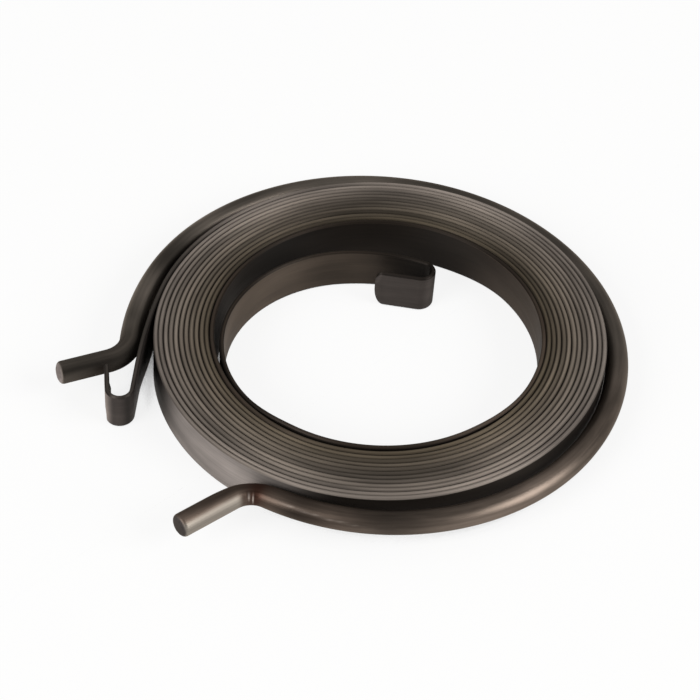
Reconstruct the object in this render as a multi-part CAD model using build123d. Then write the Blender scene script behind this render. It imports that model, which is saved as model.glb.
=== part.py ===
from build123d import *
from math import cos, radians, sin
import os

os.makedirs("parts", exist_ok=True)

# Millimetres. The coil's axis is Z and its lower edge lies on z = 0.
# Angles are in degrees, counterclockwise from +X, seen from above.

# Strip
strip_width = 6.0
strip_thickness = 0.6
turn_gap = 0.06
inner_radius = 20.9

# Coil: the angles where the strip leaves the coil at its two ends
whole_turns = 12
inner_leave_angle = 218.2
outer_leave_angle = 168

# Inner arm and hook, followed from the coil to the free end: curved tighter or looser than the bore
arm_tightening = 3.5
arm_angle = 126.3
arm_reach_slack = 2.16
arm_reach_angle = 24.4
inner_fold_radius = 1.65
inner_fold_angle = 166.6
flap_length = 5.9
flap_lower_corner = 1.9
flap_upper_corner = 0.9

# Outer hook, followed from the coil to the free end
hook_arm_radius = 77.5
hook_arm_angle = 10.2
hook_arm_length = 5.0
outer_fold_radius = 1.57
outer_fold_angle = 170.4
hook_leg_length = 4.8
hook_end_corner = 0.7

# Retaining wire: its arcs are given by how much looser than the coil they are
wire_diameter = 3.0
wire_clearance = 0.05
wire_height_above_middle = 0.4
wire_tilt = 1.6
wire_tilt_direction = 225
wire_end_rounding = 0.55
touch_angle = 370
front_leg_length = 7.9
front_bend_radius = 3.8
front_bend_angle = 67.3
front_start_angle = -116.9
front_centre_x = 0.7
front_centre_y = -1.42
front_slack = -1.18
front_arc_angle = 80.2
right_slack = 1.48
right_arc_angle = 87.6
back_slack = 0.05
back_arc_angle = 109.1
left_slack = 7.76
left_arc_angle = 21.1
back_bend_radius = 4.4
back_bend_angle = 66.6
back_leg_length = 6.45

pitch = strip_thickness + turn_gap
wire_radius = wire_diameter / 2
arm_radius = inner_radius - arm_tightening
arm_reach_radius = inner_radius + arm_reach_slack


def point(centre, radius, angle):
    # Point at a radius and an angle from a centre
    a = radians(angle)
    return (centre[0] + radius * cos(a), centre[1] + radius * sin(a))


def follow(start, heading, moves):
    # Each move is a radius, positive to the left and zero for a straight, and a sweep or length
    steps = []
    for radius, amount in moves:
        steps.append((start, heading, radius, amount))
        if radius == 0:
            start = point(start, amount, heading)
        else:
            turn = amount if radius > 0 else -amount
            centre = point(start, radius, heading + 90)
            start = point(centre, radius, heading - 90 + turn)
            heading = heading + turn
    return steps, start, heading


def beside(step, offset):
    # The edge that runs beside one step at an offset to the left
    start, heading, radius, amount = step
    first = point(start, offset, heading + 90)
    if radius == 0:
        return Line(first, point(first, amount, heading))
    turn = amount if radius > 0 else -amount
    centre = point(start, radius, heading + 90)
    middle = point(centre, radius - offset, heading - 90 + turn / 2)
    last = point(centre, radius - offset, heading - 90 + turn)
    return ThreePointArc(first, middle, last)


def across(end, heading):
    # The short edge that closes a free end
    half = strip_thickness / 2
    return Line(point(end, half, heading + 90), point(end, half, heading - 90))


def coil_moves():
    # Half turns on two centres, each looser than the last, then the part turn that is left over
    moves = []
    middle_radius = inner_radius + strip_thickness / 2
    left_over = (outer_leave_angle - inner_leave_angle) % 360
    halves = 2 * whole_turns + int(left_over // 180)
    for k in range(halves):
        moves.append((middle_radius + pitch * (k / 2 + 0.25), 180))
    moves.append((middle_radius + pitch * (halves / 2 + 0.25), left_over % 180))
    return moves


def outer_radius_at(angle):
    # Radius of the coil's outer surface in its last turn, from the inner leaving angle on
    turns = whole_turns + (angle - inner_leave_angle) / 360
    return inner_radius + strip_thickness + pitch * turns


def end_corners(body, end, height):
    # The short edge across the strip's thickness at one free end and one height
    place = Vector(end[0], end[1], height)
    return [edge for edge in body.edges() if (edge.center() - place).length < 0.001]


def strip():
    # One strip: the coil with its outer hook one way, the inner arm and hook the other way
    half = strip_thickness / 2
    start = point((0, 0), inner_radius + half, inner_leave_angle)
    outward = coil_moves() + [
        (hook_arm_radius, hook_arm_angle),
        (0, hook_arm_length),
        (-outer_fold_radius, outer_fold_angle),
        (0, hook_leg_length),
    ]
    inward = [
        (-arm_radius, arm_angle),
        (-arm_reach_radius, arm_reach_angle),
        (-inner_fold_radius, inner_fold_angle),
        (0, flap_length),
    ]
    out_steps, out_end, out_heading = follow(start, inner_leave_angle + 90, outward)
    in_steps, in_end, in_heading = follow(start, inner_leave_angle - 90, inward)
    edges = [beside(step, side) for step in out_steps + in_steps for side in (half, -half)]
    edges += [across(out_end, out_heading), across(in_end, in_heading)]
    body = extrude(Face(Wire(edges)), strip_width, dir=(0, 0, 1))
    body = fillet(end_corners(body, out_end, strip_width), hook_end_corner)
    body = fillet(end_corners(body, out_end, 0), hook_end_corner)
    body = fillet(end_corners(body, in_end, strip_width), flap_upper_corner)
    return fillet(end_corners(body, in_end, 0), flap_lower_corner)


def wire():
    # A round wire that springs round the coil, with both ends bent outwards
    touch = outer_radius_at(touch_angle) + wire_radius + wire_clearance
    start = point((front_centre_x, front_centre_y), touch + front_slack, front_start_angle)
    front_heading = front_start_angle + 90
    round_the_coil = [
        (touch + front_slack, front_arc_angle),
        (touch + right_slack, right_arc_angle),
        (touch + back_slack, back_arc_angle),
        (touch + left_slack, left_arc_angle),
        (-back_bend_radius, back_bend_angle),
        (0, back_leg_length),
    ]
    front_leg = [(front_bend_radius, front_bend_angle), (0, front_leg_length)]
    steps, end, heading = follow(start, front_heading, round_the_coil)
    leg_steps, tip, tip_heading = follow(start, front_heading + 180, front_leg)
    path = Wire([beside(step, 0) for step in steps + leg_steps])
    facing = (cos(radians(tip_heading)), sin(radians(tip_heading)), 0)
    section = Plane(origin=(tip[0], tip[1], 0), z_dir=facing) * Circle(wire_radius)
    body = sweep(section, path)
    ends = body.faces().filter_by(GeomType.PLANE)
    body = fillet([edge for face in ends for edge in face.edges()], wire_end_rounding)
    height = strip_width / 2 + wire_height_above_middle
    level = Pos(0, 0, height) * body
    lean = radians(wire_tilt_direction - 90)
    return level.rotate(Axis((0, 0, height), (cos(lean), sin(lean), 0)), wire_tilt)


export_step(strip(), "parts/spring_strip.step")
export_step(wire(), "parts/retainer_wire.step")
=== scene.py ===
import bpy
import numpy as np
from mathutils import Matrix


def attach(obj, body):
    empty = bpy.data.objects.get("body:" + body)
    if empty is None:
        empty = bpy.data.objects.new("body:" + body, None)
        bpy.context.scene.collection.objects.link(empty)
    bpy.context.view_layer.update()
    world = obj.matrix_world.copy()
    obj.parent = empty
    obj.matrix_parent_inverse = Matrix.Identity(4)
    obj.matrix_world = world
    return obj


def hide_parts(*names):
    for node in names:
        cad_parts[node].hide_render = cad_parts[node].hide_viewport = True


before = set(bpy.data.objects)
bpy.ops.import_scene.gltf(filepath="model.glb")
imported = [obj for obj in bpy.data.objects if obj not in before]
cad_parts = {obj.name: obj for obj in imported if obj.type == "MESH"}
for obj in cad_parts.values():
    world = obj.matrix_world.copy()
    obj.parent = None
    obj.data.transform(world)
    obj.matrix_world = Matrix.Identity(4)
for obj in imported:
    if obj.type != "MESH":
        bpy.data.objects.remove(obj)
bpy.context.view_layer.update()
mm = 0.001


def linear(code):
    # sRGB hex to the linear colour that the shaders take
    srgb = np.array([int(code[i:i + 2], 16) for i in (1, 3, 5)]) / 255
    rgb = np.where(srgb <= 0.04045, srgb / 12.92, ((srgb + 0.055) / 1.055) ** 2.4)
    return (*rgb.tolist(), 1.0)


def addNode(tree, kind, inputs=None, **settings):
    # settings are the node's own, inputs are plain values or sockets to link from
    node = tree.nodes.new(kind)
    for name, value in settings.items():
        setattr(node, name, value)
    for name, value in (inputs or {}).items():
        if isinstance(value, bpy.types.NodeSocket):
            tree.links.new(value, node.inputs[name])
        else:
            node.inputs[name].default_value = value
    return node


def ease(x):
    # smooth step from 0 to 1
    t = np.clip(x, 0, 1)
    return t * t * (3 - 2 * t)


def hump(x, middle, width):
    # bell of height 1 at the middle that falls to about a third one width away
    return np.exp(-((x - middle) / width) ** 2)


def humps(x, bells):
    # several bells together, each a size, a middle and a width
    return sum(size * hump(x, middle, width) for size, middle, width in bells)


def rising(x, start, run):
    # 0 up to the start and 1 a run later
    return ease((x - start) / run)


def falling(x, end, run):
    # 1 until a run before the end, and 0 after the end
    return ease((end - x) / run)


def ramps(x, steps):
    # several rises together, each a size, a start and a run
    return sum(size * rising(x, start, run) for size, start, run in steps)


def band(x, low, high, rise, fall):
    # 0 outside low to high, easing up inside over rise and down over fall
    return rising(x, low, rise) * falling(x, high, fall)


def perRing(values, grid):
    # one value for each ring, given to all its points
    return np.broadcast_to(values[:, None], grid.shape[:2])


def walk(at, turn, bend, run):
    # the point after a run along an arc: the chord has length run * sinc(half the angle)
    half = bend * run / 2
    chord = run * np.sinc(half / np.pi)
    return at + np.stack([chord * np.cos(turn + half), chord * np.sin(turn + half)], -1)


def route(start, heading, moves):
    # Tangent arcs and straights, each a radius (left positive, 0 straight) and degrees or mm.
    # Gives each step's first point, first heading in radians, curvature and length.
    at, turn = np.array(start, float), np.radians(heading)
    steps = []
    for radius, amount in moves:
        length = abs(radius) * np.radians(amount) if radius else amount
        bend = 1 / radius if radius else 0.0
        steps.append((at, turn, bend, length))
        at = walk(at, turn, bend, length)
        turn = turn + bend * length
    return steps


def along(steps, runs):
    # points and headings at run lengths, all at once
    ats, turns, bends, lengths = (np.array(values) for values in zip(*steps))
    ends = np.cumsum(lengths)
    k = np.minimum(np.searchsorted(ends, runs), len(steps) - 1)
    left = runs - (ends - lengths)[k]
    return walk(ats[k], turns[k], bends[k], left), turns[k] + bends[k] * left


def rightOf(turn):
    # unit vectors to the right of the headings
    return np.stack([np.sin(turn), -np.cos(turn)], -1)


def sweepMesh(name, grid, marks):
    # A tube from a grid of rings, with a fan on each end; marks are per-vertex attributes
    rings, around = grid.shape[:2]
    body = np.arange(rings * around).reshape(rings, around)
    a, b = body[:-1], body[1:]
    c, d = np.roll(b, -1, 1), np.roll(a, -1, 1)
    quads = np.stack([a, b, c, d], -1).reshape(-1, 4)
    tips = rings * around + np.arange(2)
    first, last = body[0], body[-1]
    fanA = np.stack([np.full(around, tips[0]), first, np.roll(first, -1)], -1)
    fanB = np.stack([np.full(around, tips[1]), np.roll(last, -1), last], -1)
    middles = np.stack([grid[0].mean(0), grid[-1].mean(0)])
    vertices = np.concatenate([grid.reshape(-1, 3), middles]) * mm
    mesh = bpy.data.meshes.new(name)
    mesh.from_pydata(vertices.tolist(), [], quads.tolist() + fanA.tolist() + fanB.tolist())
    mesh.polygons.foreach_set("use_smooth", np.ones(len(mesh.polygons), bool))
    for key, values in marks.items():
        ends = np.stack([values[0].mean(0), values[-1].mean(0)])
        flat = np.concatenate([values.reshape(rings * around, -1), ends.reshape(2, -1)])
        kind, field = ("FLOAT_VECTOR", "vector") if flat.shape[1] == 3 else ("FLOAT", "value")
        mesh.attributes.new(key, kind, "POINT").data.foreach_set(field, flat.astype(np.float32).ravel())
    run = marks["flow"][:, 0, 2] * mm
    girth = np.arange(around + 1) / around
    u = np.broadcast_to(run[:, None], (rings, around + 1))
    v = np.broadcast_to(girth, (rings, around + 1))
    uv = np.stack([u, v], -1)
    quadUv = np.stack([uv[:-1, :-1], uv[1:, :-1], uv[1:, 1:], uv[:-1, 1:]], 2).reshape(-1, 2)
    fanUv = np.zeros((2 * around * 3, 2))
    layer = mesh.uv_layers.new(name="run")
    layer.data.foreach_set("uv", np.concatenate([quadUv, fanUv]).astype(np.float32).ravel())
    mesh.update()
    piece = bpy.data.objects.new(name, mesh)
    bpy.context.scene.collection.objects.link(piece)
    return piece


# Spring strip: one flat strip, wound nearly 13 turns, hooked at both ends.
# Lengths in mm, angles in degrees. A band is low, high, rise and fall; a bell is size, middle and width.
# An "In" is where something sets in and over what run, an "Out" where it has ended and over what run.
# Angles "wound" count from where the strip leaves the bore, angles "around" go round the coil from +X.
strip = {
    "width": 5.9, "thickness": 0.6, "edgeRadius": 0.27, "cornerPoints": 7, "pitch": 0.66, "middle": 3.0,
    "innerRadius": 20.9, "wholeTurns": 12, "innerLeave": 218.2, "outerLeave": 168,
    # from the coil to each free end: radius (left positive, 0 straight) and degrees or mm
    "arm": [(-17.4, 126.3), (-23.06, 24.4), (-1.65, 166.6), (0, 5.9)],
    "hook": [(77.5, 10.2), (0, 5.0), (-1.57, 170.4), (0, 4.8)],
    # spacing of the rings, the stretches where they lie close, and the rings that round a free end
    "coilStep": 0.8, "hookStep": 0.5, "armStep": 0.7, "closeStep": 0.16,
    "hookClose": 11, "flapClose": 3, "tip": 1.4, "tipRings": 12,
    # corners of the free ends, upper and lower: how far along and how far in height
    "flapCorners": ((0.9, 1.5), (1.25, 3.0)), "hookCorners": ((0.7, 0.8), (0.7, 0.8)),
    # lean of the hooks: shift of the lower rim in x and y, where it sets in and over what length
    "flapLean": (-0.18, 0.28), "flapLeanIn": (-12, 10), "hookLean": (-0.34, 0.66), "hookLeanIn": (8, 7),
    "upright": (1.15, 5.2),  # the hook's leg stands up again where it meets the wire
    # the last turn's lower rim stands out where nothing holds it, and below a height also under the wire
    "flare": 0.33, "flareBand": (-50, 26, 26, 14), "kick": (0.45, 138, 20), "kickHeight": -0.7,
    "loose": 0.42, "looseBand": (0, 115, 22, 30),  # the first turn lies in from the rest near the arm
    # the first turn's lower rim leans in at the back, and where it would show the floor behind the arm
    "sags": [(0.6, (178, 300, 32, 40)), (0.12, (0, 300, 150, 40))], "sagBell": (0.62, 314, 13),
    # waves of the turns' gaps, heights and tones: size, how many and the quickest per turn
    "coilEnds": (2, 30), "wander": (0.022, 9, 2.6), "lift": (0.045, 9, 1.6), "tone": (0.2, 14, 5),
    # edges: painted shade on their shoulders towards the gaps, and painted light and shade on them by place
    # round the coil
    "edgeIn": (0.05, 0.25), "freeEdge": 0.2,  # by how far a normal points up or down, and off the coil
    "shoulderShade": 0.68, "sideShoulderShade": -0.24, "ridgeIn": (0.72, 0.27),
    "shine": 0.8, "paintedSideLight": 0.42, "coilShine": -0.28, "outerShine": 0.22,
    "paintedBackShade": -0.2, "backIn": (0.2, 0.5), "backOut": (1700, 900),  # painted shade: the inner turns are darker at the back
    "innerShade": [(0.2, 35, 25), (0.3, 140, 25)], "woundFull": 4600, "firstTurnOut": (430, 80),
    # faces: the outer wall rubbed and painted paler with the reflection of floor and lamp, painted reflection
    # on the bore at the right and painted shade at the left, painted shade behind the hook and inside the flap
    "faceSplit": 0.1, "lastTurnIn": (-60, 20), "rubbedSheenBand": (198, 262, 17, 36),
    "boreIn": (2, 6), "boreSheenAndShade": [(3.2, 20, 26), (-0.5, 68, 14), (-0.7, 130, 18)],
    "shadeBehindHook": (0.9, 192, 9), "insideFlapShade": 0.6, "insideFlapShadeIn": (-4, 4),
    # painted shading across the hook's fold: half darker at its start, half paler towards its leg
    "foldFrom": 18.8, "foldIn": (-2, 2), "foldRun": 4.7, "foldShading": 0.6,
    # the arm's face painted paler as a reflection of the floor, from the bore to its fold and fading a little;
    # the bent ends' own colour, less on the edges
    "armBand": (-2, -3, 6, 7), "armFade": (0.5, 8, 28),
    "bentFlapIn": (1, 3), "bentHookIn": (2, 6), "bentEdge": 0.6,
    "mattEdge": 0.08, "mattRubbed": 0.12,
    "seed": 4,
}


def coilMoves():
    # half turns on two centres, each looser than the last, then the part turn left over
    middle = strip["innerRadius"] + strip["thickness"] / 2
    rest = (strip["outerLeave"] - strip["innerLeave"]) % 360
    halves = 2 * strip["wholeTurns"] + int(rest // 180)
    moves = [(middle + strip["pitch"] * (k / 2 + 0.25), 180) for k in range(halves)]
    return moves + [(middle + strip["pitch"] * (halves / 2 + 0.25), rest % 180)]


def stripLine():
    # centreline from the inner hook's free end to the outer hook's, with its marks
    angle = np.radians(strip["innerLeave"])
    start = (strip["innerRadius"] + strip["thickness"] / 2) * np.array([np.cos(angle), np.sin(angle)])
    outward = route(start, strip["innerLeave"] + 90, coilMoves() + strip["hook"])
    inward = route(start, strip["innerLeave"] - 90, strip["arm"])
    outLength = sum(s[3] for s in outward)
    inLength = sum(s[3] for s in inward)
    hookRun = outLength - sum(s[3] for s in outward[-4:])
    foldRun = sum(s[3] for s in inward[:2])
    close = strip["closeStep"]
    tip = np.sin(np.linspace(0, np.pi / 2, strip["tipRings"])) * strip["tip"]
    outClose, outTip = outLength - strip["hookClose"], outLength - strip["tip"]
    inClose, inTip = foldRun - strip["flapClose"], inLength - strip["tip"]
    outRuns = np.concatenate([
        np.arange(0, hookRun, strip["coilStep"]), np.arange(hookRun, outClose, strip["hookStep"]),
        np.arange(outClose, outTip, close), outTip + tip])
    inRuns = np.concatenate([
        np.arange(strip["coilStep"], inClose, strip["armStep"]), np.arange(inClose, inTip, close), inTip + tip])
    outPoints, outTurn = along(outward, outRuns)
    inPoints, inTurn = along(inward, inRuns)
    points = np.concatenate([inPoints[::-1], outPoints])
    turn = np.concatenate([inTurn[::-1] + np.pi, outTurn])
    runs = np.concatenate([-inRuns[::-1], outRuns])
    wound = np.where(runs > 0, np.degrees(turn - outTurn[0]), 0)
    return points, turn, runs, wound, {"in": inLength, "out": outLength, "hook": hookRun, "fold": foldRun}


def slowWaves(rng, x, size, count, quick):
    # sum of sines whose lengths don't fit a turn, so that neighbouring turns differ, kept within the size
    rates = rng.uniform(0.25, quick, count)
    phases = rng.uniform(0, 2 * np.pi, count)
    sizes = rng.uniform(0.4, 1.0, count)
    waves = sizes * np.sin(2 * np.pi * rates * x[:, None] / 360 + phases)
    return size * np.clip(waves.sum(1) / np.sqrt((sizes ** 2).sum()), -1, 1)


def stripSection():
    # Rounded rectangle from four quarter circles and one more point on each flat side: points across
    # the thickness and height, and how far each one's normal points up or down
    r = strip["edgeRadius"]
    x, z = strip["thickness"] / 2 - r, strip["width"] / 2 - r
    quarter = np.radians(np.linspace(0, 90, strip["cornerPoints"]))
    corners = [(x, -z, -90), (x, z, 0), (-x, z, 90), (-x, -z, 180)]
    rings = [np.stack([cx + r * np.cos(quarter + np.radians(a)), cz + r * np.sin(quarter + np.radians(a)),
                       np.sin(quarter + np.radians(a))], -1) for cx, cz, a in corners]
    right, left = (np.array([[side * strip["thickness"] / 2, strip["kickHeight"], 0]]) for side in (1, -1))
    return np.concatenate([rings[0], right, rings[1], rings[2], left, rings[3]]).T


def cornerInset(toEnd, corner):
    # how much an elliptical corner takes off the height, by the distance to the free end
    length, height = corner
    part = np.clip((length - toEnd) / length, 0, 1)
    return height * (1 - np.sqrt(1 - part ** 2))


def trimmed(height, toFlap, toHook):
    # the section's heights at every ring, with the free ends' corners taken off
    upper, lower = (cornerInset(toFlap, flap) + cornerInset(toHook, hook)
                    for flap, hook in zip(strip["flapCorners"], strip["hookCorners"]))
    heights = height - np.where(height > 0, upper[:, None], -lower[:, None])
    flatHalf = strip["width"] / 2 - strip["edgeRadius"]
    part = (strip["kickHeight"] + flatHalf) / (2 * flatHalf)
    n = strip["cornerPoints"]
    # the middle point of each flat side stays between the points under and over it
    for middle, under, over in ((n, n - 1, n + 1), (3 * n + 1, 3 * n + 2, 3 * n)):
        heights[:, middle] = heights[:, under] * (1 - part) + heights[:, over] * part
    return heights


def stripGrid(points, turn, runs, wound, ends, shift, rise, section, heights):
    # rings of the strip, with its lower rim leaning where the strip is free
    across, height, _ = section
    out = rightOf(turn)  # away from the coil's axis
    grid = np.zeros((len(runs), len(across), 3))
    grid[..., :2] = (points + out * shift[:, None])[:, None] + across[:, None] * out[:, None]
    grid[..., 2] = strip["middle"] + heights + rise[:, None]
    share = (strip["middle"] - heights) / (2 * strip["middle"])  # 0 at the upper rim, 1 at the lower
    lastTurn = wound - 360 * strip["wholeTurns"]
    flare = strip["flare"] * band(lastTurn, *strip["flareBand"])
    kick = humps(lastTurn, [strip["kick"]])
    below = np.clip((strip["kickHeight"] - height) / (strip["width"] / 2 + strip["kickHeight"]), 0, 1)
    sag = sum(size * band(wound, *span) for size, span in strip["sags"]) + humps(wound, [strip["sagBell"]])
    grid[..., :2] += ((flare - sag)[:, None] * share + kick[:, None] * below)[..., None] * out[:, None]
    atFlap = rising(-runs - ends["fold"], *strip["flapLeanIn"])[:, None] * share
    atHook = rising(runs - ends["hook"], *strip["hookLeanIn"])[:, None] * share
    amount, length = strip["upright"]
    upright = 1 - amount * np.clip(1 - (ends["out"] - runs) / length, 0, 1)
    leanX, leanY = strip["hookLean"]
    hookLean = np.stack([np.full(len(runs), leanX), leanY * upright], -1)[:, None]
    grid[..., :2] += atFlap[..., None] * np.array(strip["flapLean"]) + atHook[..., None] * hookLean
    return grid


def edgeTone(around, wound, coil, tone, facing):
    # how pale the edges are: a pale ridge between shoulders in painted shade, with painted light at the left
    # and right of the coil, painted shade at the back and on the inner turns, and paler outer turns
    atSide = np.cos(np.radians(around)) ** 2  # 1 at the left and right of the coil, 0 at its front and back
    # painted shade on the shoulders of each edge, deeper at the left and right of the coil
    slope = (strip["shoulderShade"] + strip["sideShoulderShade"] * atSide)[:, None]
    ridge = slope + (1 - slope) * rising(np.abs(facing), *strip["ridgeIn"])
    # painted shade on the inner turns at the back of the coil
    back = rising(np.sin(np.radians(around)), *strip["backIn"]) * falling(wound, *strip["backOut"]) * coil
    outer = np.clip(wound / strip["woundFull"], 0, 1)
    # painted light on the edges at the left and right of the coil
    placed = strip["paintedSideLight"] * atSide + strip["coilShine"] + strip["outerShine"] * outer ** 2 * (1 - atSide)
    shine = strip["shine"] + tone + strip["paintedBackShade"] * back + coil * placed
    # painted shade on the inner turns at two places round the coil
    shine = shine - (1 - outer) * humps(around, strip["innerShade"])
    return ridge * shine[:, None]


def faceTone(around, runs, ends, inward, lastOut):
    # how pale the faces are: painted reflection and shade on the bore's wall, painted shade behind the hook and
    # inside the flap, and painted shading across the hook's fold
    # painted reflection on the bore's wall at the right, painted shade at the left and back
    bore = humps(around, strip["boreSheenAndShade"]) * rising(runs, *strip["boreIn"])
    # painted shade inside the flap
    flap = strip["insideFlapShade"] * rising(-runs - ends["fold"], *strip["insideFlapShadeIn"])
    # painted shade on the outer wall behind the hook
    hookShade = humps(around, [strip["shadeBehindHook"]])[:, None] * lastOut
    # painted shading across the hook's fold
    pastFold = runs - ends["hook"] - strip["foldFrom"]
    paler = ease(pastFold / strip["foldRun"]) - 0.5  # from half darker to half paler
    fold = rising(pastFold, *strip["foldIn"]) * strip["foldShading"] * paler
    return (1 + (bore - flap)[:, None] * inward - hookShade) * (1 + fold)[:, None]


def stripMarks(turn, runs, wound, ends, coil, tone, section, heights):
    # what the material reads at each point of the strip
    across, _, facing = section
    around = (np.degrees(turn) - 90) % 360
    lastTurn = wound - 360 * strip["wholeTurns"]
    split = strip["faceSplit"]
    inward, outward = falling(across, split, 2 * split), rising(across, -split, 2 * split)
    edge = rising(np.abs(facing), *strip["edgeIn"])
    onEdge = edge * (strip["freeEdge"] + (1 - strip["freeEdge"]) * coil[:, None])
    low, high, rise, fall = strip["armBand"]
    # the arm's face, painted paler as a reflection of the floor
    armReflection = band(-runs, low, ends["fold"] + high, rise, fall) * (1 - ramps(-runs, [strip["armFade"]]))
    bentFlap = rising(-runs - ends["fold"], *strip["bentFlapIn"])[:, None] * outward
    bentHook = rising(runs - ends["hook"], *strip["bentHookIn"])[:, None] * inward
    lastOut = outward * rising(lastTurn, *strip["lastTurnIn"])[:, None]
    # the outer wall's band: rubbed, and painted paler with the reflection of the floor and lamp, ending where
    # the wire shades it
    rubbedAndSheen = lastOut * band(around, *strip["rubbedSheenBand"])[:, None]
    faces = faceTone(around, runs, ends, inward, lastOut)
    edges = edgeTone(around, wound, coil, tone, facing)
    return {
        "flow": np.stack([np.broadcast_to(across, heights.shape), heights, perRing(runs, heights)], -1),
        "onEdge": onEdge,
        "matt": strip["mattEdge"] * onEdge + strip["mattRubbed"] * rubbedAndSheen,
        "rubbedAndSheen": rubbedAndSheen,
        "outerShare": perRing(np.clip(wound / strip["woundFull"], 0, 1), heights),
        "firstTurn": perRing(falling(wound, *strip["firstTurnOut"]), heights),
        "armReflection": armReflection[:, None] * inward,
        "bent": (bentFlap + bentHook) * (1 - strip["bentEdge"] * edge),
        "tone": faces + edge * (edges - faces),
    }


def stripPiece():
    points, turn, runs, wound, ends = stripLine()
    rng = np.random.default_rng(strip["seed"])
    start, fade = strip["coilEnds"]
    coil = band(runs, start, ends["hook"], fade, fade)
    shift = slowWaves(rng, wound, *strip["wander"]) * coil - strip["loose"] * band(wound, *strip["looseBand"])
    rise = slowWaves(rng, wound, *strip["lift"]) * coil
    tone = slowWaves(rng, wound, *strip["tone"])
    section = stripSection()
    heights = trimmed(section[1], runs + ends["in"], ends["out"] - runs)
    grid = stripGrid(points, turn, runs, wound, ends, shift, rise, section, heights)
    marks = stripMarks(turn, runs, wound, ends, coil, tone, section, heights)
    return sweepMesh("spring_strip_finish", grid, marks)


print("strip")
stripObject = stripPiece()
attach(stripObject, "root")
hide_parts("spring_strip")


# Retaining wire: round wire sprung round the coil, both ends bent outwards.
# Runs are in mm from the start of the round, angles round the wire are in degrees from its outer side.
wire = {
    "diameter": 3.0, "clearance": 0.05, "touchAngle": 370, "startAngle": -116.9, "centre": (0.7, -1.42),
    "slacks": (-1.18, 1.48, 0.05, 7.76), "arcs": (80.2, 87.6, 109.1, 21.1),
    "frontBend": (3.8, 67.3), "frontLeg": 8.0, "backBend": (-4.4, 66.6), "backLeg": 6.6,
    "height": 3.4, "tilt": 1.6, "tiltDirection": 225,
    # points round the wire, spacing of the rings, and the rings that round and close a cut end
    "around": 48, "roundStep": 0.6, "bendStep": 0.15, "bendRun": 13, "legStep": 0.12,
    "tipRings": 8, "capRings": 4, "capSpan": (0.2, 0.8),
    # cut ends: their rounded rim, dome and slant (front and back end), and the slant's length
    "endRounding": 0.55, "endDome": 0.1, "endSlant": (0.03, 0.1), "slantRun": 1.0,
    # run, length, angle, spread and depth
    "flat": (-2.3, 2.6, 130, 55, 0.34),
    "dents": [(-2.85, 0.2, 15, 26, 0.08), (-2.0, 0.2, 18, 30, 0.09)],
    "nicks": [(-2.5, 0.15, 27, 15), (-1.72, 0.12, 12, 19)],  # bare ridges: run, length, angle and spread
    "scratch": (1.5, 13.5, 50, 18, 3.5, 0.4),  # from run to run, from angle to angle, width and how bare; its pale line is a painted highlight along the scratch
    "scratchEnds": (6, 3), "scratchRipple": (0.3, 4),  # how fast it fades at each end, and how it wavers
    # stretches along the run, partly wear and partly painted highlight and shade (the bright one at the front
    # right, the dark one after the front bend): run, half length and how much paler
    "wearAndLightStretches": [(4.5, 3.8, 0.38), (15.5, 4, 0.65), (33, 9, 1.5), (68, 16, 1.3), (118, 9, 1.65),
                  (130, 5, 1.15), (142, 5, 1.7), (150, 4, 0.6), (159, 6, 2.4), (171, 12, 0.35), (-8, 5, 0.8)],
    # the back leg is paler than the round, with a band of painted shade along its front
    "backLegIn": (162, 3), "backLegTone": 0.7, "backLegShadeBand": (1.15, 136, 24),
    "cutOut": (0.6, 0.5), "cutTone": (0.9, 4.4),  # in parts of the rounding, and for the front and back end
    # ramps: size, start and run, from the start of the round to the back or to the front
    "backMatt": [(0.3, 163, 5)], "frontMatt": [(0.1, 0, 3)], "greyed": [(0.3, 6, 10), (0.4, 48, 18)],
    # where the front leg's pale side lies, partly rubbed metal and partly painted highlight
    "pinched": (-1.2, 1.6), "legIn": (3.4, 1.5), "legHighlightSide": (62, 28),
}


def wireLine():
    # centreline from the front leg's end round the coil to the back leg's end
    turns = strip["wholeTurns"] + (wire["touchAngle"] - strip["innerLeave"]) / 360
    coilRadius = strip["innerRadius"] + strip["thickness"] + strip["pitch"] * turns
    touch = coilRadius + wire["diameter"] / 2 + wire["clearance"]
    angle = np.radians(wire["startAngle"])
    facing = np.array([np.cos(angle), np.sin(angle)])
    start = np.array(wire["centre"]) + (touch + wire["slacks"][0]) * facing
    rounds = [(touch + slack, arc) for slack, arc in zip(wire["slacks"], wire["arcs"])]
    back = route(start, wire["startAngle"] + 90, rounds + [wire["backBend"], (0, wire["backLeg"])])
    front = route(start, wire["startAngle"] + 270, [wire["frontBend"], (0, wire["frontLeg"])])
    backLength, frontLength = sum(s[3] for s in back), sum(s[3] for s in front)
    rounding, caps, leg = wire["endRounding"], wire["capRings"], wire["legStep"]
    tip = np.sin(np.linspace(0, np.pi / 2, wire["tipRings"])) * rounding
    bend, backTip, frontTip = backLength - wire["bendRun"], backLength - rounding, frontLength - rounding
    backRuns = np.concatenate([
        np.arange(0, bend, wire["roundStep"]), np.arange(bend, backTip, wire["bendStep"]),
        backTip + tip, np.full(caps, backLength)])
    frontRuns = np.concatenate([np.arange(leg, frontTip, leg), frontTip + tip, np.full(caps, frontLength)])
    backPoints, backTurn = along(back, backRuns)
    frontPoints, frontTurn = along(front, frontRuns)
    points = np.concatenate([frontPoints[::-1], backPoints])
    turn = np.concatenate([frontTurn[::-1] + np.pi, backTurn])
    runs = np.concatenate([-frontRuns[::-1], backRuns])
    return points, turn, runs, np.minimum(runs + frontLength, backLength - runs)


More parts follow.
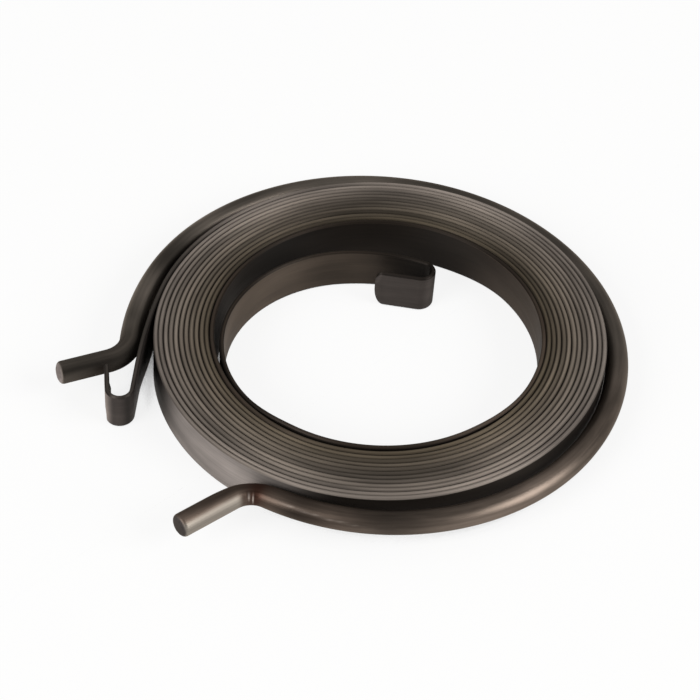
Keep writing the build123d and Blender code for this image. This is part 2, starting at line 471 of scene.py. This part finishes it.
def wireReach(runs, toEnd, degrees):
    # distance of each point from the centreline: rounded ends, a pinched flat and dents
    rounding, full, caps = wire["endRounding"], wire["diameter"] / 2, wire["capRings"]
    dip = np.clip(rounding - toEnd, 0, rounding)
    radius = full - rounding + np.sqrt(rounding ** 2 - dip ** 2)
    steps = (full - rounding) * np.linspace(*wire["capSpan"], caps)  # rings across the cut end
    radius[:caps], radius[-caps:] = steps, steps[::-1]
    reach = np.broadcast_to(radius[:, None], (len(runs), len(degrees))).copy()
    for run, length, middle, wide, depth in [wire["flat"]] + wire["dents"]:
        fromMiddle = (degrees - middle + 180) % 360 - 180
        reach -= depth * hump(runs, run, length)[:, None] * hump(fromMiddle, 0, wide)
    return reach


def wireGrid(points, turn, runs, toEnd, spin, reach):
    # rings of the wire, tilted as a whole, with slightly domed and slanted cut ends
    full = wire["diameter"] / 2
    dome = wire["endDome"] * (1 - (reach / full) ** 2) * (toEnd < 1e-6)[:, None]
    slant = np.where(runs < 0, *wire["endSlant"]) * falling(toEnd, wire["slantRun"], wire["slantRun"])
    push = np.sign(runs)[:, None] * (dome - slant[:, None] * reach / full * np.sin(spin))
    ahead = np.stack([np.cos(turn), np.sin(turn)], -1)[:, None]
    aside = (reach * np.cos(spin))[..., None] * rightOf(turn)[:, None]
    grid = np.zeros((*reach.shape, 3))
    grid[..., :2] = points[:, None] + aside + push[..., None] * ahead
    grid[..., 2] = reach * np.sin(spin)
    lean = np.radians(wire["tiltDirection"] - 90)
    turnOver = np.array(Matrix.Rotation(np.radians(wire["tilt"]), 3, (np.cos(lean), np.sin(lean), 0)))
    return grid @ turnOver.T + [0, 0, wire["height"]]


def bareMetalAndGlint(runs, degrees):
    # ridges left by the pliers, and one scratch that runs slantwise along the wire, painted pale as the thin
    # highlight it catches
    nicks = sum(hump(runs, run, length)[:, None] * hump(degrees, middle, wide)
                for run, length, middle, wide in wire["nicks"])
    runA, runB, angleA, angleB, width, bareAndGlint = wire["scratch"]
    part = ((runs - runA) / (runB - runA))[:, None]
    (first, last), (ripple, rate) = wire["scratchEnds"], wire["scratchRipple"]
    wavering = 1 - ripple + ripple * np.sin(runs * rate)[:, None]
    fading = bareAndGlint * ease(part * first) * ease((1 - part) * last) * wavering
    return nicks + fading * hump(degrees - angleA - (angleB - angleA) * part, 0, width)


def wireMarks(runs, toEnd, spin, degrees, reach):
    # what the material reads at each point of the wire
    cutEnd = falling(toEnd, *(wire["endRounding"] * part for part in wire["cutOut"]))
    # paler and darker stretches, partly wear and partly painted highlight and shade
    tone = np.prod([1 + (paler - 1) * hump(runs, run, half) for run, half, paler in wire["wearAndLightStretches"]], 0)
    # a band of painted shade along the back leg's front
    legTone = wire["backLegTone"] - humps(degrees % 360, [wire["backLegShadeBand"]])
    tone = tone[:, None] * (1 + rising(runs, *wire["backLegIn"])[:, None] * legTone)
    frontTone, backTone = wire["cutTone"]
    cutTone = cutEnd * np.where(runs > 0, backTone, frontTone)
    return {
        "flow": np.stack([reach * np.cos(spin), reach * np.sin(spin), perRing(runs, reach)], -1),
        "cutEnd": perRing(cutEnd, reach),
        "matt": perRing(ramps(runs, wire["backMatt"]) + ramps(-runs, wire["frontMatt"]), reach),
        "pinched": perRing(hump(runs, *wire["pinched"]), reach),
        # bare metal at the pliers' ridges, and a painted highlight along the scratch
        "bareAndGlint": bareMetalAndGlint(runs, degrees),
        # the front leg's pale side, partly rubbed metal and partly painted highlight
        "legHighlight": rising(-runs, *wire["legIn"])[:, None] * falling(degrees, *wire["legHighlightSide"]),
        "greyed": perRing(ramps(runs, wire["greyed"]), reach),
        "tone": tone * (1 - cutEnd[:, None]) + cutTone[:, None],
    }


def wirePiece():
    points, turn, runs, toEnd = wireLine()
    spin = np.linspace(0, 2 * np.pi, wire["around"], endpoint=False)
    degrees = (np.degrees(spin) + 180) % 360 - 180
    reach = wireReach(runs, toEnd, degrees)
    grid = wireGrid(points, turn, runs, toEnd, spin, reach)
    return sweepMesh("retainer_wire_finish", grid, wireMarks(runs, toEnd, spin, degrees, reach))


print("wire")
wireObject = wirePiece()
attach(wireObject, "root")
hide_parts("retainer_wire")


# Oil-tempered spring steel: rolled strip, blue-black to brown on its faces, slit paler edges
stripSteel = {
    # the arm's colour is its face painted paler as a reflection of the floor; the outer wall's pale colour is
    # rubbed and painted with the reflection of floor and lamp
    "face": "#1f1a16", "arm": "#54493f", "rubbedAndSheen": "#928a85", "bent": "#423c39",
    "innerEdge": "#746753", "outerEdge": "#a0958c", "firstTurn": "#564a40",
    "metallic": 0.6, "anisotropic": 0.8, "rough": (0.42, 0.56), "grazing": "#d4ccc4",
    "line": (6.0, 6.0, 0.1),  # per mm: rolling lines 0.15 mm apart and about 10 mm long
    "patch": (0.5, 0.3, 0.07),  # oil and temper patches about 3 mm high and 14 mm long
    "patchShade": (0.72, 1.28), "lineShade": (0.84, 1.16),
    "lineDepth": 0.00002, "lineStrength": 0.35,
}
# Drawn spring wire: dark brown to grey oxide with fine draw lines, abraded in places, with painted highlight on
# the front leg's side and along a scratch
wireSteel = {
    "dark": "#4a3f37", "pale": "#6f6157", "greyed": "#57534d", "cut": "#45403e", "pinched": "#3f2a22",
    # the leg colour is the front leg's pale side, partly rubbed and partly painted highlight; the bare colour
    # is bare metal, along the scratch also a painted highlight
    "leg": "#938b81", "bareAndGlint": "#b9aca2",
    "metallic": 0.85, "anisotropic": 0.45, "rough": (0.34, 0.46), "grazing": "#d4ccc4",
    "line": (3.0, 3.0, 0.07),  # per mm: draw lines 0.3 mm apart and about 14 mm long
    "patch": (0.5, 0.5, 0.1),  # oxide patches about 2 mm wide and 10 mm long
    "patchShade": (0.88, 1.12), "lineShade": (0.85, 1.15),
    "lineDepth": 0.00002, "lineStrength": 0.35,
}


def spread(tree, value, low, high):
    # a noise value, which mostly lies between 0.3 and 0.7, stretched to a range
    limits = {"From Min": 0.3, "From Max": 0.7, "To Min": low, "To Max": high}
    return addNode(tree, "ShaderNodeMapRange", {"Value": value, **limits}).outputs["Result"]


def mixColour(tree, share, first, second, blend="MIX"):
    node = addNode(tree, "ShaderNodeMix", {0: share, 6: first, 7: second}, data_type="RGBA", blend_type=blend)
    return node.outputs[2]


def combine(tree, operation, first, second):
    return addNode(tree, "ShaderNodeMath", {0: first, 1: second}, operation=operation).outputs[0]


def mark(tree, name):
    return addNode(tree, "ShaderNodeAttribute", attribute_name=name).outputs["Fac"]


def flowNoise(tree, scale):
    # noise on the run of the metal: across, height and run in mm, times a scale per mm
    flow = addNode(tree, "ShaderNodeAttribute", attribute_name="flow").outputs["Vector"]
    squeezed = addNode(tree, "ShaderNodeVectorMath", {0: flow, 1: scale}, operation="MULTIPLY").outputs[0]
    inputs = {"Vector": squeezed, "Scale": 1.0, "Detail": 3.0}
    return addNode(tree, "ShaderNodeTexNoise", inputs).outputs["Fac"]


def steel(name, look, paint):
    # Metal with lines along its run: paint gives its colour before lines, patches and tone
    material = bpy.data.materials.new(name)
    material.use_nodes = True
    tree = material.node_tree
    shader = tree.nodes["Principled BSDF"]
    shader.inputs["Metallic"].default_value = look["metallic"]  # the oxide film scatters some light
    shader.inputs["Anisotropic"].default_value = look["anisotropic"]
    shader.inputs["Anisotropic Rotation"].default_value = 0.25  # lines along the run spread light across it
    shader.inputs["Specular Tint"].default_value = linear(look["grazing"])  # oxide dulls the grazing shine
    tangent = addNode(tree, "ShaderNodeTangent", direction_type="UV_MAP", uv_map="run")
    tree.links.new(tangent.outputs["Tangent"], shader.inputs["Tangent"])
    lines = flowNoise(tree, look["line"])
    patches = flowNoise(tree, look["patch"])
    colour = paint(tree)
    for shade in (spread(tree, lines, *look["lineShade"]), spread(tree, patches, *look["patchShade"]),
                  mark(tree, "tone")):
        colour = mixColour(tree, 1.0, colour, shade, "MULTIPLY")
    tree.links.new(colour, shader.inputs["Base Color"])
    rough = combine(tree, "ADD", spread(tree, lines, *look["rough"]), mark(tree, "matt"))
    tree.links.new(rough, shader.inputs["Roughness"])
    relief = {"Strength": look["lineStrength"], "Distance": look["lineDepth"], "Height": lines}
    bump = addNode(tree, "ShaderNodeBump", relief)
    tree.links.new(bump.outputs["Normal"], shader.inputs["Normal"])
    return material


def paintStrip(tree):
    look = stripSteel
    # the arm's face and the outer wall's pale band carry painted reflection
    face = mixColour(tree, mark(tree, "armReflection"), linear(look["face"]), linear(look["arm"]))
    face = mixColour(tree, mark(tree, "rubbedAndSheen"), face, linear(look["rubbedAndSheen"]))
    edge = mixColour(tree, mark(tree, "outerShare"), linear(look["innerEdge"]), linear(look["outerEdge"]))
    edge = mixColour(tree, mark(tree, "firstTurn"), edge, linear(look["firstTurn"]))
    colour = mixColour(tree, mark(tree, "onEdge"), face, edge)
    return mixColour(tree, mark(tree, "bent"), colour, linear(look["bent"]))


def paintWire(tree):
    look = wireSteel
    patches = spread(tree, flowNoise(tree, look["patch"]), 0.0, 1.0)
    colour = mixColour(tree, patches, linear(look["dark"]), linear(look["pale"]))
    # the front leg's pale side and the scratch carry painted highlight besides rubbed and bare metal
    for name, over in (("greyed", "greyed"), ("legHighlight", "leg"), ("pinched", "pinched"), ("bareAndGlint", "bareAndGlint"),
                       ("cutEnd", "cut")):
        colour = mixColour(tree, mark(tree, name), colour, linear(look[over]))
    return colour


print("materials")
stripObject.data.materials.append(steel("oilTemperedSpringSteel", stripSteel, paintStrip))
wireObject.data.materials.append(steel("drawnSpringWire", wireSteel, paintWire))

# Floor, lamps and camera: the floor and the lamps in metres and watts, the camera's place in mm
stage = {
    "floor": "#f4f3f1", "floorRough": 0.9, "floorHalf": 3.0, "surround": "#a0a0a0",
    "glow": 0.85,  # how white the floor shows
    "contact": 0.004, "contactFade": (0.05, 0.3),  # how near and how closed in the floor loses that white
    "leftLamp": {"direction": (-0.65, -0.565, 0.508), "size": 1.0, "power": 16},
    "rightLamp": {"direction": (0.8, -0.313, 0.51), "size": 1.0, "power": 16},
    "lampDistance": 1.5,
    "camera": {"elevation": 0.7799, "roll": 0.0394, "distance": 271.1, "lookAt": (-1.744, 0.723, 0),
               "lens": 105.03, "sensor": 36, "shift": (-0.02137, 0.00964), "clip": 0.01},
}


def addFloor():
    mesh = bpy.data.meshes.new("floor")
    half = stage["floorHalf"]
    corners = [(-half, -half, 0), (half, -half, 0), (half, half, 0), (-half, half, 0)]
    mesh.from_pydata(corners, [], [(0, 1, 2, 3)])
    floor = bpy.data.objects.new("floor", mesh)
    bpy.context.scene.collection.objects.link(floor)
    mesh.materials.append(paleCard())


def paleCard():
    # matt card that shows nearly white to the camera and in reflections, and keeps a soft shadow
    material = bpy.data.materials.new("paleCard")
    material.use_nodes = True
    tree = material.node_tree
    shader = tree.nodes["Principled BSDF"]
    shader.inputs["Base Color"].default_value = linear(stage["floor"])
    shader.inputs["Roughness"].default_value = stage["floorRough"]
    ray = addNode(tree, "ShaderNodeLightPath").outputs
    seen = combine(tree, "MAXIMUM", ray["Is Camera Ray"], ray["Is Glossy Ray"])
    seen = combine(tree, "MAXIMUM", seen, ray["Is Transmission Ray"])
    share = combine(tree, "MULTIPLY", seen, stage["glow"])
    # the white fades in the narrow gaps under and inside the object, where a real floor is in shadow
    near = addNode(tree, "ShaderNodeAmbientOcclusion", {"Distance": stage["contact"]}, samples=8).outputs["AO"]
    low, high = stage["contactFade"]
    clear = addNode(tree, "ShaderNodeMapRange", {"Value": near, "From Min": low, "From Max": high},
                    interpolation_type="SMOOTHSTEP").outputs["Result"]
    white = addNode(tree, "ShaderNodeEmission", {"Color": (1, 1, 1, 1), "Strength": clear}).outputs[0]
    mixed = addNode(tree, "ShaderNodeMixShader", {0: share, 1: shader.outputs[0], 2: white}).outputs[0]
    tree.links.new(mixed, tree.nodes["Material Output"].inputs["Surface"])
    return material


def turnTo(forward):
    # rotation whose -Z looks along forward, with its top upwards
    z = -np.array(forward, float)
    x = np.cross((0, 0, 1), z)
    x = x / np.linalg.norm(x)
    return np.stack([x, np.cross(z, x), z], -1).tolist()


def addLamp(name):
    spec = stage[name]
    lamp = bpy.data.lights.new(name, "AREA")
    lamp.shape = "DISK"
    lamp.size = spec["size"]
    lamp.energy = spec["power"]
    away = np.array(spec["direction"]) / np.linalg.norm(spec["direction"])
    holder = bpy.data.objects.new(name, lamp)
    holder.location = away * stage["lampDistance"]
    holder.rotation_euler = Matrix(turnTo(-away)).to_euler()
    bpy.context.scene.collection.objects.link(holder)


def addCamera():
    view = stage["camera"]
    forward = np.array([0, np.cos(view["elevation"]), -np.sin(view["elevation"])])
    right = np.array([1.0, 0, 0])
    up = np.cross(right, forward)
    rightRolled = np.cos(view["roll"]) * right + np.sin(view["roll"]) * up
    upRolled = -np.sin(view["roll"]) * right + np.cos(view["roll"]) * up
    camera = bpy.data.cameras.new("camera")
    camera.lens = view["lens"]
    camera.sensor_width = view["sensor"]
    camera.shift_x, camera.shift_y = view["shift"]
    camera.clip_start = view["clip"]
    holder = bpy.data.objects.new("camera", camera)
    place = np.eye(4)
    place[:3, :3] = np.stack([rightRolled, upRolled, -forward], -1)
    place[:3, 3] = (np.array(view["lookAt"]) - view["distance"] * forward) * mm
    holder.matrix_world = Matrix(place.tolist())
    bpy.context.scene.collection.objects.link(holder)
    bpy.context.scene.camera = holder


print("stage")
addFloor()
addLamp("leftLamp")
addLamp("rightLamp")
addCamera()
world = bpy.data.worlds.new("studio")
world.use_nodes = True
world.node_tree.nodes["Background"].inputs["Color"].default_value = linear(stage["surround"])
bpy.context.scene.world = world
bpy.context.scene.view_settings.view_transform = "Standard"
